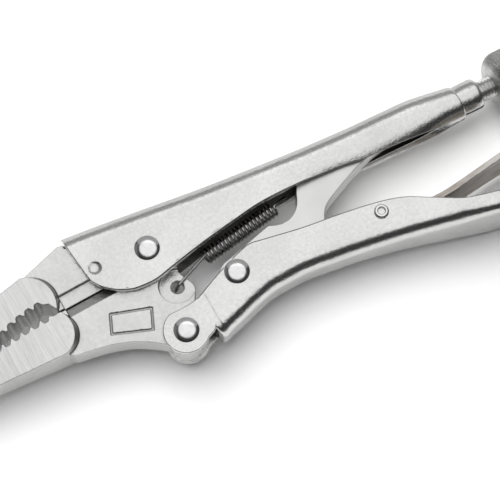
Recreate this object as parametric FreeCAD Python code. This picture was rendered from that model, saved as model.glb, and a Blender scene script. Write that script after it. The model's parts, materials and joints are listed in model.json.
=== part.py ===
import FreeCAD, Part
import math
import os

# Long-nose locking pliers with a wire cutter, lying on one side.
# X runs along the tool from the jaw tips to the knob, Y across it towards the upper handle,
# and Z up, square to the flat sides.  Every place below is given from the jaw pivot, at mid
# thickness; place_parts() then moves the whole tool so that its box stands on Z = 0.
# All lengths are millimetres.

Vector = FreeCAD.Vector
X_AXIS = Vector(1, 0, 0)
Z_AXIS = Vector(0, 0, 1)

# thicknesses, measured as half the width in Z where the piece is symmetric
SHEET = 2.2
CHEEK_HALF = 7.3
JAW_HALF = 4.8
PAD_HALF = 7.4
TIP_HALF = 2.7
LINK_HALF = 4.4
LINK_NOSE_HALF = 3.1
LOWER_HALF = 8.2
LEVER_SHEET = 1.8

# pivots in the side plane
JAW_PIVOT = (0.0, 0.0)
HANDLE_PIVOT = (-2.1, -27.5)
LINK_PIVOT = (19.3, -19.7)
LEVER_PIVOT = (65.4, -25.3)
LINK_END = (80.0, -3.3)
SPRING_HOLE = (2.4, -13.6)

# rivets
RIVET_R = 2.5
RIVET_HEAD_R = 4.0
RIVET_HEAD_H = 1.3
LEVER_RIVET_R = 1.6
LEVER_RIVET_HEAD_R = 2.2
LEVER_RIVET_HEAD_H = 0.6
LEVER_RIVET_GRIP = 9.35
RUNNING_FIT = 0.06

# jaws
TIP_X = -101.0
NOSE_ROOT_X = -34.0
CLOSE_X = -55.0
CLOSE_Y = -4.3
TIP_CLOSE_Y = -6.0
FACE_GAP = 0.4
TOOTH_PITCH = 3.2
TOOTH_DEPTH = 1.3
BOSS_R = 9.0
BOSS_GAP = 0.35
LOBE_R = 6.4
CUTTER_Y = -3.4
CUTTER_GAP = 0.45

# adjusting screw and knob, along an axis through LINK_END
SCREW_TILT = math.radians(-3.0)
SCREW_R = 3.44
SCREW_START = 7.4
NECK_R = 5.3
NECK_START = 25.0
NECK_END = 33.4
KNOB_START = 40.2
KNOB_LENGTH = 12.6
KNOB_R = 9.5
KNOB_EDGE = 4.2

# spring
SPRING_WIRE = 0.9
SPRING_R = 2.05
COIL_START = (14.2, -8.8)
COIL_END = (40.6, -6.1)
SPRING_ANCHOR = (44.6, -4.6)
HOOK_Z = 2.7


def at(point, z=0.0):
    """A point of the side plane, lifted to height z."""
    return Vector(point[0], point[1], z)


def wire(*stretches):
    """Closed wire from stretches: ("line", points), ("curve", points) or ("arc", three points)."""
    edges = []
    first = None
    last = None
    for kind, points in stretches:
        places = [at(p) for p in points]
        if last is not None and last.distanceToPoint(places[0]) > 1e-6:
            edges.append(Part.makeLine(last, places[0]))
        if kind == "line":
            edges += [Part.makeLine(a, b) for a, b in zip(places, places[1:])]
        elif kind == "arc":
            edges.append(Part.Arc(*places).toShape())
        else:
            curve = Part.BSplineCurve()
            curve.interpolate(places)
            edges.append(curve.toShape())
        if first is None:
            first = places[0]
        last = places[-1]
    if last.distanceToPoint(first) > 1e-6:
        edges.append(Part.makeLine(last, first))
    return Part.Wire(edges)


def plate(outline, low, high):
    """Flat plate with this outline between two heights."""
    face = Part.Face(outline)
    face.translate(Vector(0, 0, low))
    return face.extrude(Vector(0, 0, high - low))


def both_sides(shape):
    """The shape and its mirror image in the mid plane."""
    return [shape, shape.mirror(Vector(0, 0, 0), Z_AXIS)]


def disc(centre, radius, low, high):
    """Round bar square to the side plane."""
    return Part.makeCylinder(radius, high - low, at(centre, low), Z_AXIS)


def on_circle(centre, radius, degrees):
    """Point of the side plane on a circle."""
    angle = math.radians(degrees)
    return (centre[0] + radius * math.cos(angle), centre[1] + radius * math.sin(angle))


def domed_rivet(centre, radius, head_r, head_h, grip):
    """Rivet with a low dome on each end; grip is half the thickness that it holds."""
    ball_r = (head_r ** 2 + head_h ** 2) / (2.0 * head_h)
    shank = disc(centre, radius, -grip, grip)
    ball = Part.makeSphere(ball_r, at(centre, grip + head_h - ball_r))
    head = ball.common(disc(centre, head_r + 1.0, grip, grip + head_h + 1.0))
    return shank.fuse(both_sides(head)).removeSplitter()


# ---------------------------------------------------------------- folded sheet handles

def ring(x, top, bottom, half, top_r, bottom_r):
    """Rounded rectangle across the tool at x, as a wire of four sides and four corner arcs."""
    corners = [(top, half, top_r, 1, 1), (bottom, half, bottom_r, -1, 1),
               (bottom, -half, bottom_r, -1, -1), (top, -half, top_r, 1, -1)]
    slant = math.sqrt(0.5)
    arcs = []
    for index, (y, z, r, up, out) in enumerate(corners):
        centre_y = y - up * r
        centre_z = z - out * r
        along_y = Vector(x, y, centre_z)
        along_z = Vector(x, centre_y, z)
        middle = Vector(x, centre_y + up * r * slant, centre_z + out * r * slant)
        ends = (along_y, middle, along_z) if index % 2 == 0 else (along_z, middle, along_y)
        arcs.append(ends)
    edges = []
    for index, ends in enumerate(arcs):
        edges.append(Part.Arc(*ends).toShape())
        following = arcs[(index + 1) % len(arcs)]
        edges.append(Part.makeLine(ends[2], following[0]))
    return Part.Wire(edges)


def skin(stations, inset=0.0):
    """Straight-sided solid through (x, top, bottom, half, top radius, bottom radius), drawn in by inset."""
    rings = []
    for x, top, bottom, half, top_r, bottom_r in stations:
        inner_top_r = max(top_r - inset, 0.3)
        inner_bottom_r = max(bottom_r - inset, 0.3)
        rings.append(ring(x, top - inset, bottom + inset, half - inset, inner_top_r, inner_bottom_r))
    return Part.makeLoft(rings, True, True)


# x, top, bottom, half width, top corner radius, bottom corner radius; the cheeks are then
# pressed flat at CHEEK_HALF
UPPER_STATIONS = [
    (-24.0, 17.3, -12.0, 7.40, 5.0, 0.4),
    (0.0, 13.6, -12.0, 7.40, 5.0, 0.4),
    (25.0, 9.7, -9.4, 7.40, 5.0, 0.4),
    (45.0, 7.2, -7.4, 7.40, 5.0, 0.6),
    (56.0, 5.9, -5.7, 7.40, 5.0, 1.2),
    (64.0, 5.1, -6.5, 7.25, 5.1, 2.5),
    (72.0, 4.4, -7.8, 7.15, 5.2, 3.8),
    (83.0, 3.6, -8.6, 6.90, 5.4, 4.7),
    (91.0, 3.2, -9.4, 6.60, 5.5, 5.0),
    (98.0, 2.3, -10.0, 6.15, 5.4, 5.2),
    (106.0, 0.9, -10.3, 5.60, 5.3, 5.3),
]
UPPER_CAVITY_END = 9


def upper_side():
    """Side outline of the upper handle: straight front, round belly under the jaw pivot."""
    return wire(
        ("line", [(125.0, -30.0), (125.0, 30.0), (-22.4, 30.0), (-19.6, 1.6)]),
        ("curve", [(-19.6, 1.6), (-18.7, -1.3), (-16.4, -4.6), (-12.5, -7.6), (-8.3, -9.3), (-3.0, -9.8)]),
        ("curve", [(-3.0, -9.8), (3.9, -8.7), (13.9, -7.0), (24.9, -5.6), (37.3, -4.5), (49.4, -4.9),
                   (56.5, -5.5)]),
        ("line", [(56.5, -5.5), (56.5, -30.0)]),
    )


def along_screw(distance):
    """Point on the screw axis at this distance behind the end of the toggle link."""
    return Vector(LINK_END[0] + distance * math.cos(SCREW_TILT),
                  LINK_END[1] + distance * math.sin(SCREW_TILT), 0.0)


SCREW_AXIS = Vector(math.cos(SCREW_TILT), math.sin(SCREW_TILT), 0.0)


def bar(radius, start, end):
    """Round bar on the screw axis."""
    return Part.makeCylinder(radius, end - start, along_screw(start), SCREW_AXIS)


def lip_slot():
    """Opening between the two walls, seen from below: full width in front, a seam at the neck."""
    side = [(-40.0, 5.2), (57.0, 5.2), (64.0, 4.8), (76.0, 4.6), (84.0, 3.7), (95.0, 3.1), (102.5, 0.3),
            (125.0, 0.3)]
    corners = [Vector(x, -30.0, z) for x, z in side]
    corners += [Vector(x, -30.0, -z) for x, z in reversed(side)]
    face = Part.Face(Part.makePolygon(corners + corners[:1]))
    return face.extrude(Vector(0, 27.0, 0))


def upper_handle():
    """Folded channel that rolls into a slotted tube and ends in a round threaded neck."""
    outer = skin(UPPER_STATIONS)
    inner = skin([(-30.0,) + UPPER_STATIONS[0][1:]] + UPPER_STATIONS[:UPPER_CAVITY_END + 1], SHEET)
    shell = outer.cut(inner).fuse(bar(NECK_R, NECK_START, NECK_END))
    bore = bar(SCREW_R + RUNNING_FIT, NECK_START - 15.0, NECK_END + 1.0)
    shell = shell.cut([bore, lip_slot()]).common(plate(upper_side(), -CHEEK_HALF, CHEEK_HALF))
    dimples = both_sides(Part.makeSphere(2.4, at((-16.3, 2.4), CHEEK_HALF + 1.2)))
    rivet_hole = disc(JAW_PIVOT, RIVET_R, -10.0, 10.0)
    tang = Part.makeBox(1.6, 9.0, 3.0, at((SPRING_ANCHOR[0] + 0.2, SPRING_ANCHOR[1] + 1.0), -1.5))
    shell = shell.cut(dimples + [rivet_hole])
    return shell.fuse(tang).removeSplitter()


# x, top, bottom, half width, top corner radius, bottom corner radius
LOWER_STATIONS = [
    (6.6, -6.0, -33.7, 7.3, 0.5, 4.0),
    (9.4, -6.0, -33.4, 8.2, 0.5, 4.4),
    (14.0, -6.0, -32.5, 8.2, 0.5, 4.5),
    (21.5, -6.0, -30.5, 8.2, 0.5, 4.5),
    (28.5, -6.0, -29.4, 8.2, 0.5, 4.5),
    (36.0, -6.0, -29.5, 8.2, 0.5, 4.5),
    (46.0, -6.0, -30.9, 8.2, 0.5, 4.5),
    (56.0, -6.0, -32.7, 8.4, 0.5, 4.5),
    (69.0, -6.0, -35.7, 9.4, 0.5, 4.6),
    (80.0, -6.0, -38.8, 10.7, 0.5, 4.8),
    (91.0, -6.0, -41.8, 11.8, 0.5, 5.0),
    (101.0, -6.0, -44.4, 12.3, 0.5, 5.0),
    (112.0, -6.0, -46.8, 12.5, 0.5, 5.0),
    (124.0, -6.0, -48.6, 12.5, 0.5, 5.0),
]


def lower_side():
    """Side outline of the lower handle behind its ears."""
    return wire(
        ("line", [(6.6, -60.0), (6.6, -20.2)]),
        ("curve", [(6.6, -20.2), (14.9, -17.2), (22.5, -14.8), (26.5, -14.0), (31.0, -14.9)]),
        ("curve", [(31.0, -14.9), (42.7, -17.5), (54.6, -19.5), (65.0, -21.8), (72.6, -24.4), (80.6, -29.4),
                   (88.8, -34.5), (98.9, -37.8), (108.0, -40.2), (117.0, -41.9)]),
        ("arc", [(117.0, -41.9), (121.0, -44.0), (122.0, -48.0)]),
        ("line", [(122.0, -48.0), (122.0, -60.0)]),
    )


def ear():
    """Flat ear outline round the handle pivot, tangent to the handle's upper edge."""
    radius = 6.9
    return wire(
        ("line", [(6.8, -20.1), on_circle(HANDLE_PIVOT, radius, 108.0)]),
        ("arc", [on_circle(HANDLE_PIVOT, radius, angle) for angle in (108.0, 200.0, 292.0)]),
        ("curve", [on_circle(HANDLE_PIVOT, radius, 292.0), (3.6, -31.4), (6.8, -29.6)]),
    )


def lower_handle():
    """Channel open towards the upper handle, stepped out behind its ears and flared at the end."""
    outer = skin(LOWER_STATIONS)
    first = LOWER_STATIONS[0]
    last = LOWER_STATIONS[-1]
    inner = skin([(4.0,) + first[1:]] + LOWER_STATIONS + [(130.0,) + last[1:]], SHEET)
    headroom = Part.makeBox(140.0, 20.0, 2 * (CHEEK_HALF - SHEET), Vector(0, -20.0, SHEET - CHEEK_HALF))
    shell = outer.cut([inner, headroom]).common(plate(lower_side(), -20.0, 20.0))
    ears = both_sides(plate(ear(), CHEEK_HALF - SHEET, CHEEK_HALF))
    holes = [disc(HANDLE_PIVOT, RIVET_R, -12.0, 12.0), disc(LINK_PIVOT, RIVET_R, -12.0, 12.0),
             disc(LEVER_PIVOT, LEVER_RIVET_R, -14.0, 14.0)]
    return shell.fuse(ears).cut(holes).removeSplitter()


# ---------------------------------------------------------------- jaws

def closing_y(x):
    """Height of the closing face of the upper jaw, between its tip and the curved gripping zone."""
    share = (x - TIP_X) / (CLOSE_X - TIP_X)
    return TIP_CLOSE_Y + share * (CLOSE_Y - TIP_CLOSE_Y)


def upper_face_y(x):
    """Tooth tips of the fixed jaw: straight in front, hollowed in a pipe grip near the root."""
    if x <= CLOSE_X:
        return closing_y(x)
    share = (x - CLOSE_X) / (-37.0 - CLOSE_X)
    return CLOSE_Y + 4.3 * math.sin(min(share, 1.15) * math.pi / 2.0)


def lower_face_y(x):
    """Tooth tips of the moving jaw: straight in front, slightly raised near the root."""
    if x <= CLOSE_X:
        return closing_y(x) - FACE_GAP
    share = (x - CLOSE_X) / (-37.0 - CLOSE_X)
    return CLOSE_Y - FACE_GAP + 0.9 * math.sin(min(share, 1.15) * math.pi / 2.0)


def toothed(face, depth, start, end):
    """Points of a toothed face from start to end; depth is up for the upper jaw."""
    points = []
    count = int((end - start) / TOOTH_PITCH)
    for index in range(count):
        x = start + index * TOOTH_PITCH
        for offset, share in ((0.0, 0.0), (0.5, 0.0), (1.0, 1.0), (2.2, 1.0)):
            points.append((x + offset, face(x + offset) + share * depth))
    x = start + count * TOOTH_PITCH
    points.append((x, face(x)))
    return points


def nose_wedges():
    """Solids that grind both flat sides of the nose to a taper towards the tip."""
    slope = (PAD_HALF - TIP_HALF) / (NOSE_ROOT_X - TIP_X)
    far_x = TIP_X - 10.0
    far_half = TIP_HALF - 10.0 * slope
    side = [(NOSE_ROOT_X + 20.0, PAD_HALF + 20.0 * slope), (far_x, far_half), (far_x, 20.0),
            (NOSE_ROOT_X + 20.0, 20.0)]
    corners = [Vector(x, -40.0, z) for x, z in side]
    face = Part.Face(Part.makePolygon(corners + corners[:1]))
    return both_sides(face.extrude(Vector(0, 80.0, 0)))


def pad(foot, crown):
    """Raised ground pad on both flat sides, with sloped ends, from its outlines below and above."""
    foot.translate(Vector(0, 0, JAW_HALF - 1.5))
    crown.translate(Vector(0, 0, PAD_HALF + 0.4))
    return both_sides(Part.makeLoft([foot, crown], True, True))


def below_degrees(depth, radius):
    """Angle on a circle round the jaw pivot where its front side lies this far below the pivot."""
    return 180.0 + math.degrees(math.asin(depth / radius))


def shank_bevels():
    """Wedges that take the two upper edges off the shank, to clear the fold of the handle."""
    drop = -0.15
    top = 10.9 + drop * -21.2
    corners = [Vector(-21.2, top - 2.4, JAW_HALF + 1.0), Vector(-21.2, top + 1.0, JAW_HALF - 2.4),
               Vector(-21.2, top + 1.0, JAW_HALF + 1.0)]
    face = Part.Face(Part.makePolygon(corners + corners[:1]))
    return both_sides(face.extrude(Vector(24.0, 24.0 * drop, 0)))


FIXED_TOOTH_START = TIP_X + 2.2
FIXED_TOOTH_END = -34.6


def fixed_jaw():
    """Forged upper jaw: toothed nose, cutter step, and a shank between the handle's cheeks."""
    teeth = toothed(upper_face_y, TOOTH_DEPTH, FIXED_TOOTH_START, FIXED_TOOTH_END)
    top = [(-23.0, 14.4), (-37.0, 10.6), (-96.0, 0.7)]
    tip = [(-96.0, 0.7), (-99.8, -0.9), (TIP_X, -3.6)]
    socket_r = BOSS_R + BOSS_GAP
    socket_end = below_degrees(-CUTTER_Y, socket_r)
    rear = on_circle(JAW_PIVOT, socket_r, 94.0)
    body = plate(wire(
        ("line", top),
        ("arc", tip),
        ("line", [(TIP_X, closing_y(TIP_X))] + teeth + [(-33.2, -0.7), (-31.6, CUTTER_Y)]),
        ("line", [(-31.6, CUTTER_Y), on_circle(JAW_PIVOT, socket_r, socket_end)]),
        ("arc", [on_circle(JAW_PIVOT, socket_r, angle) for angle in (socket_end, 150.0, 94.0)]),
        ("line", [rear, (rear[0], 11.0), (-20.0, 13.9)]),
    ), -JAW_HALF, JAW_HALF)
    nose = [(-31.8, CUTTER_Y), (-33.2, -0.7)] + list(reversed(teeth))
    nose += [(TIP_X, closing_y(TIP_X)), (TIP_X, -3.6), (-99.8, -0.9), (-96.0, 0.7), (-37.0, 10.6)]
    end = [(-37.0, 10.6), (-31.6, 6.0), (-31.8, CUTTER_Y)]
    foot = wire(("line", nose), ("arc", [end[0], (end[1][0] + 1.6, end[1][1] + 0.7), end[2]]))
    crown = wire(("line", nose), ("arc", end))
    jaw = body.fuse(pad(foot, crown)).cut(nose_wedges())
    step = plate(wire(("line", [(-29.8, 0.9), (-8.8, 0.9), (-8.8, -6.0), (-29.8, -6.0)])), JAW_HALF - 1.5,
                 JAW_HALF + 1.0)
    return jaw.cut(both_sides(step) + shank_bevels()).removeSplitter()


def moving_jaw():
    """Forged lower jaw: toothed nose, cutter bevel, pivot boss, handle lobe and spring tab."""
    teeth = toothed(lower_face_y, -TOOTH_DEPTH, FIXED_TOOTH_START, FIXED_TOOTH_END)
    edge_y = CUTTER_Y - CUTTER_GAP
    boss_start = below_degrees(-edge_y, BOSS_R)
    cutter = [(-33.6, -4.5), (-31.4, edge_y), on_circle(JAW_PIVOT, BOSS_R, boss_start)]
    under = [(-12.8, -24.9), (-17.9, -21.9), (-25.0, -19.4), (-33.6, -17.6)]
    nose_edge = [(-33.6, -17.6), (-35.4, -16.4), (-96.0, -11.3)]
    tip = [(-96.0, -11.3), (-99.8, -10.4), (TIP_X, -8.2)]
    body = plate(wire(
        ("line", [(TIP_X, closing_y(TIP_X) - FACE_GAP)] + teeth + cutter),
        ("arc", [on_circle(JAW_PIVOT, BOSS_R, angle) for angle in (boss_start, 90.0, -40.0)]),
        ("curve", [on_circle(JAW_PIVOT, BOSS_R, -40.0), (5.4, -11.0), (7.0, -15.6), (4.6, -20.4),
                   on_circle(HANDLE_PIVOT, LOBE_R, 12.0)]),
        ("arc", [on_circle(HANDLE_PIVOT, LOBE_R, angle) for angle in (12.0, -80.0, -172.0)]),
        ("curve", [on_circle(HANDLE_PIVOT, LOBE_R, -172.0)] + under),
        ("line", nose_edge),
        ("arc", tip),
    ), -JAW_HALF, JAW_HALF)
    nose = [(-31.2, -4.4), (-33.6, -4.5)] + list(reversed(teeth))
    nose += [(TIP_X, closing_y(TIP_X) - FACE_GAP), (TIP_X, -8.2), (-99.8, -10.4), (-96.0, -11.3),
             (-35.4, -16.4)]
    end = [(-35.4, -16.4), (-29.9, -9.0), (-31.2, -4.4)]
    foot = wire(("line", nose), ("arc", [end[0], (end[1][0] + 1.6, end[1][1] - 0.3), end[2]]))
    crown = wire(("line", nose), ("arc", end))
    jaw = body.fuse(pad(foot, crown)).cut(nose_wedges())
    bevel = Part.Face(Part.makePolygon([Vector(-29.6, edge_y - 2.9, JAW_HALF),
                                        Vector(-29.6, edge_y + 1.0, JAW_HALF - 2.0),
                                        Vector(-29.6, edge_y + 1.0, JAW_HALF + 1.0),
                                        Vector(-29.6, edge_y - 2.9, JAW_HALF)]))
    bevel = bevel.extrude(Vector(17.0, 0, 0))
    recess = disc(SPRING_HOLE, 5.6, JAW_HALF - 2.8, JAW_HALF + 1.0)
    holes = [disc(JAW_PIVOT, RIVET_R + RUNNING_FIT, -9.0, 9.0),
             disc(HANDLE_PIVOT, RIVET_R + RUNNING_FIT, -9.0, 9.0), disc(SPRING_HOLE, 2.0, -9.0, 9.0)]
    return jaw.cut(both_sides(bevel) + both_sides(recess) + holes).removeSplitter()


# ---------------------------------------------------------------- toggle link and release lever

def toggle_link():
    """Thick link from the lower handle to the screw, with a hump in front and a thinner end."""
    eye_r = 5.3
    end_r = 2.6
    outline = wire(
        ("arc", [on_circle(LINK_PIVOT, eye_r, angle) for angle in (96.0, 180.0, 262.0)]),
        ("line", [(36.0, -22.4), (49.0, -18.6), (50.4, -18.4)]),
        ("curve", [(50.4, -18.4), (51.4, -16.4), (53.6, -14.1), (57.0, -12.4), (62.0, -10.4), (67.0, -8.5)]),
        ("line", [(67.0, -8.5), (74.0, -6.6), on_circle(LINK_END, end_r, -100.0)]),
        ("arc", [on_circle(LINK_END, end_r, angle) for angle in (-100.0, 0.0, 96.0)]),
        ("line", [(72.0, -0.4), (60.0, -1.0), (52.0, -2.8)]),
        ("curve", [(52.0, -2.8), (48.0, -5.2), (46.3, -8.6), (43.6, -11.5), (40.0, -12.6), (37.2, -12.1),
                   (35.0, -11.0)]),
    )
    link = plate(outline, -LINK_HALF, LINK_HALF)
    thinner = plate(wire(("line", [(69.0, -20.0), (90.0, -20.0), (90.0, 10.0), (69.0, 10.0)])),
                    LINK_NOSE_HALF, LINK_HALF + 1.0)
    hole = disc(LINK_PIVOT, RIVET_R + RUNNING_FIT, -9.0, 9.0)
    return link.cut(both_sides(thinner) + [hole]).removeSplitter()


def release_lever():
    """Bent sheet lever: nose under the link, lugs on its rivet, wide tail between the handles."""
    spine = [(49.0, -22.7), (57.0, -22.2), (65.0, -22.6), (72.0, -25.2), (79.5, -28.0), (87.0, -28.6),
             (96.0, -28.1), (108.0, -27.2), (118.0, -27.8)]
    under = [(x, y - LEVER_SHEET) for x, y in reversed(spine)]
    strip = plate(wire(("curve", spine), ("curve", under)), -12.0, 12.0)
    half_plan = [(49.0, 5.3), (72.0, 5.4), (80.0, 6.6), (95.0, 9.2), (108.0, 10.0), (116.0, 9.0),
                 (118.0, 6.5)]
    corners = [Vector(x, -60.0, z) for x, z in half_plan]
    corners += [Vector(x, -60.0, -z) for x, z in reversed(half_plan)]
    plan = Part.Face(Part.makePolygon(corners + corners[:1])).extrude(Vector(0, 60.0, 0))
    lug = plate(wire(
        ("line", [(59.5, -23.0), (60.6, -26.2)]),
        ("arc", [(61.6, -27.6), (65.4, -29.4), (69.2, -27.6)]),
        ("line", [(69.2, -27.6), (71.5, -25.8), (65.0, -23.4)]),
    ), 4.0, 5.3)
    hole = disc(LEVER_PIVOT, LEVER_RIVET_R + RUNNING_FIT, -9.0, 9.0)
    return strip.common(plan).fuse(both_sides(lug)).cut(hole).removeSplitter()


# ---------------------------------------------------------------- rivets, spring, screw, knob

def lever_rivet():
    """Hollow-ended rivet across the lower handle."""
    rivet = domed_rivet(LEVER_PIVOT, LEVER_RIVET_R, LEVER_RIVET_HEAD_R, LEVER_RIVET_HEAD_H, LEVER_RIVET_GRIP)
    cups = both_sides(disc(LEVER_PIVOT, 1.0, LEVER_RIVET_GRIP - 0.6, LEVER_RIVET_GRIP + 2.0))
    return rivet.cut(cups)


def bent_wire(points):
    """Round spring wire along straight runs, with a ball at each bend and end."""
    radius = SPRING_WIRE / 2.0
    pieces = [Part.makeSphere(radius, point) for point in points]
    for near, far in zip(points, points[1:]):
        run = far.sub(near)
        pieces.append(Part.makeCylinder(radius, run.Length, near, run))
    return pieces


def jaw_spring():
    """Envelope of the close-wound extension spring, with a wire to the jaw's hole and one to the handle."""
    start = at(COIL_START)
    run = at(COIL_END).sub(start)
    coil = Part.makeCylinder(SPRING_R + SPRING_WIRE / 2.0, run.Length, start, run)
    front = bent_wire([at(COIL_START, SPRING_R), at(SPRING_HOLE, HOOK_Z), at(SPRING_HOLE, -HOOK_Z)])
    back = bent_wire([at(COIL_END), at(SPRING_ANCHOR)])
    return coil.fuse(front + back).removeSplitter()


def adjusting_screw():
    """Threaded rod with a flat tip in front and a plain collar at the knob."""
    rod = bar(SCREW_R, SCREW_START, KNOB_START + KNOB_LENGTH - 2.0)
    tip = Part.makeCone(SCREW_R - 0.9, SCREW_R, 0.9, along_screw(SCREW_START), SCREW_AXIS)
    return rod.cut(bar(SCREW_R + 1.0, SCREW_START, SCREW_START + 0.9)).fuse(tip).removeSplitter()


def adjusting_knob():
    """Round knob with a full inner edge, closed at the back."""
    profile = wire(
        ("line", [(0.0, 0.0), (0.0, KNOB_R - KNOB_EDGE)]),
        ("arc", [(0.0, KNOB_R - KNOB_EDGE), (KNOB_EDGE * (1 - math.sqrt(0.5)),
                 KNOB_R - KNOB_EDGE * (1 - math.sqrt(0.5))), (KNOB_EDGE, KNOB_R)]),
        ("line", [(KNOB_EDGE, KNOB_R), (KNOB_LENGTH - 1.0, KNOB_R), (KNOB_LENGTH, KNOB_R - 1.0),
                  (KNOB_LENGTH, 0.0)]),
    )
    knob = Part.Face(profile).revolve(Vector(0, 0, 0), X_AXIS, 360.0)
    knob.rotate(Vector(0, 0, 0), Z_AXIS, math.degrees(SCREW_TILT))
    knob.translate(along_screw(KNOB_START))
    return knob.cut(bar(SCREW_R + RUNNING_FIT, KNOB_START - 1.0, KNOB_START + KNOB_LENGTH - 1.8))


def place_parts(parts):
    """Move the tool so that its box is centred on the Z axis and stands on Z = 0."""
    box = Part.makeCompound(list(parts.values())).optimalBoundingBox()
    shift = Vector(-(box.XMin + box.XMax) / 2.0, -(box.YMin + box.YMax) / 2.0, -box.ZMin)
    for shape in parts.values():
        shape.translate(shift)
    return shift


def main():
    rivet = (RIVET_R, RIVET_HEAD_R, RIVET_HEAD_H)
    parts = {
        "upper_handle": upper_handle(),
        "fixed_jaw": fixed_jaw(),
        "moving_jaw": moving_jaw(),
        "lower_handle": lower_handle(),
        "toggle_link": toggle_link(),
        "release_lever": release_lever(),
        "jaw_pivot_rivet": domed_rivet(JAW_PIVOT, *rivet, CHEEK_HALF),
        "handle_pivot_rivet": domed_rivet(HANDLE_PIVOT, *rivet, CHEEK_HALF),
        "link_rivet": domed_rivet(LINK_PIVOT, *rivet, LOWER_HALF),
        "lever_rivet": lever_rivet(),
        "jaw_spring": jaw_spring(),
        "adjusting_screw": adjusting_screw(),
        "adjusting_knob": adjusting_knob(),
    }
    shift = place_parts(parts)
    print("origin moved by", [round(v, 4) for v in shift])
    os.makedirs("parts", exist_ok=True)
    for name, shape in parts.items():
        print(name, "valid", shape.isValid(), "solids", len(shape.Solids), "volume", round(shape.Volume, 1))
        shape.exportStep("parts/" + name + ".step")


main()
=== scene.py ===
"""Dresses a packed pair of long-nose locking pliers: handles, jaws, rivets, spring, screw and knob.

Lengths in the tables are millimetres from the jaw pivot, at mid thickness: X along the tool towards
the knob, Y across it towards the upper handle, Z up.  Meshes are made in metres in the frame's own
axes.
"""

import functools
import json
import math

import bmesh
import bpy
from mathutils import Matrix, Vector


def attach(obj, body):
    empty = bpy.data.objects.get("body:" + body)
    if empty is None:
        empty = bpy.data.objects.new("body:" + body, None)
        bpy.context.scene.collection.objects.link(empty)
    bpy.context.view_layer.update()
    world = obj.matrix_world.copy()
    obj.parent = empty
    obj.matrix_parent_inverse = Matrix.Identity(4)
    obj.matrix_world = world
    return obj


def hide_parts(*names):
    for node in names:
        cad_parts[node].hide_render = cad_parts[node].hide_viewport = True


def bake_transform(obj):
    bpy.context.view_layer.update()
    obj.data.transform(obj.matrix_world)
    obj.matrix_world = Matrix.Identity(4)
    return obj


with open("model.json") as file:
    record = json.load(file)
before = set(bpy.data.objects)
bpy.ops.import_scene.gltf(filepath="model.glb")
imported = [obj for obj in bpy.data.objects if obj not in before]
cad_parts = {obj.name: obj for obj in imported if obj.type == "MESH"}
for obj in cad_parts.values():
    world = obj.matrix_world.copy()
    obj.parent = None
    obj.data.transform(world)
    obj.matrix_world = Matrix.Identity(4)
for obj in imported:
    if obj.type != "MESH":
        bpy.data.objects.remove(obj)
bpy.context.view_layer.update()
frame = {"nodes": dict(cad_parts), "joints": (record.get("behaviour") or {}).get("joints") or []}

bl_info = {
    "name": "Locking pliers",
    "version": (1, 0, 0),
    "blender": (4, 5, 0),
    "location": "3D View > Sidebar > Pliers",
    "description": "Builds the looks of a pair of long-nose locking pliers around its frame",
    "category": "Add Mesh",
}

MM = 0.001
JOINTS = {joint["name"]: joint for joint in frame["joints"]}
JAW_PIVOT = Vector(JOINTS["jaw_hinge"]["pos_m"])
HANDLE_PIVOT = Vector(JOINTS["handle_hinge"]["pos_m"])
LINK_PIVOT = Vector(JOINTS["link_hinge"]["pos_m"])
LEVER_PIVOT = Vector(JOINTS["lever_hinge"]["pos_m"])
SCREW_AXIS = Vector(JOINTS["screw_slide"]["axis"])
KNOB_START = Vector(JOINTS["knob_turn"]["pos_m"])
UP = Vector((0.0, 0.0, 1.0))


def spot(x, y, z=0.0):
    """A place given in millimetres from the jaw pivot, in the frame's metres."""
    return JAW_PIVOT + Vector((x, y, z)) * MM


def local(place):
    """A place in the frame, as millimetres from the jaw pivot."""
    return (Vector(place) - JAW_PIVOT) / MM


# ---------------- sizes and colours a user may change

class PliersSizes(bpy.types.PropertyGroup):
    sheet: bpy.props.FloatProperty(
        name="Sheet thickness", description="Thickness of the pressed handles",
        default=2.2 * MM, min=1.0 * MM, max=3.0 * MM, unit="LENGTH", precision=4)
    edge: bpy.props.FloatProperty(
        name="Edge rounding", description="Rounding of the cut edges of the pressed sheet",
        default=0.35 * MM, min=0.1 * MM, max=0.8 * MM, unit="LENGTH", precision=4)
    forging_grain: bpy.props.FloatProperty(
        name="Forging rounding", description="Size of the rounding left on forged edges",
        default=0.18 * MM, min=0.15 * MM, max=0.6 * MM, unit="LENGTH", precision=5)
    spring_wire: bpy.props.FloatProperty(
        name="Spring wire", description="Diameter of the spring's wire",
        default=0.84 * MM, min=0.4 * MM, max=1.2 * MM, unit="LENGTH", precision=5)
    spring_pitch: bpy.props.FloatProperty(
        name="Spring pitch", description="Distance from one coil of the spring to the next",
        default=1.27 * MM, min=0.9 * MM, max=3.0 * MM, unit="LENGTH", precision=5)
    thread_pitch: bpy.props.FloatProperty(
        name="Thread pitch", description="Lead of the adjusting screw",
        default=1.0 * MM, min=0.5 * MM, max=2.0 * MM, unit="LENGTH", precision=4)
    knurl_count: bpy.props.IntProperty(
        name="Knurl teeth", description="Ridges round the knob", default=60, min=20, max=120)


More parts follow.
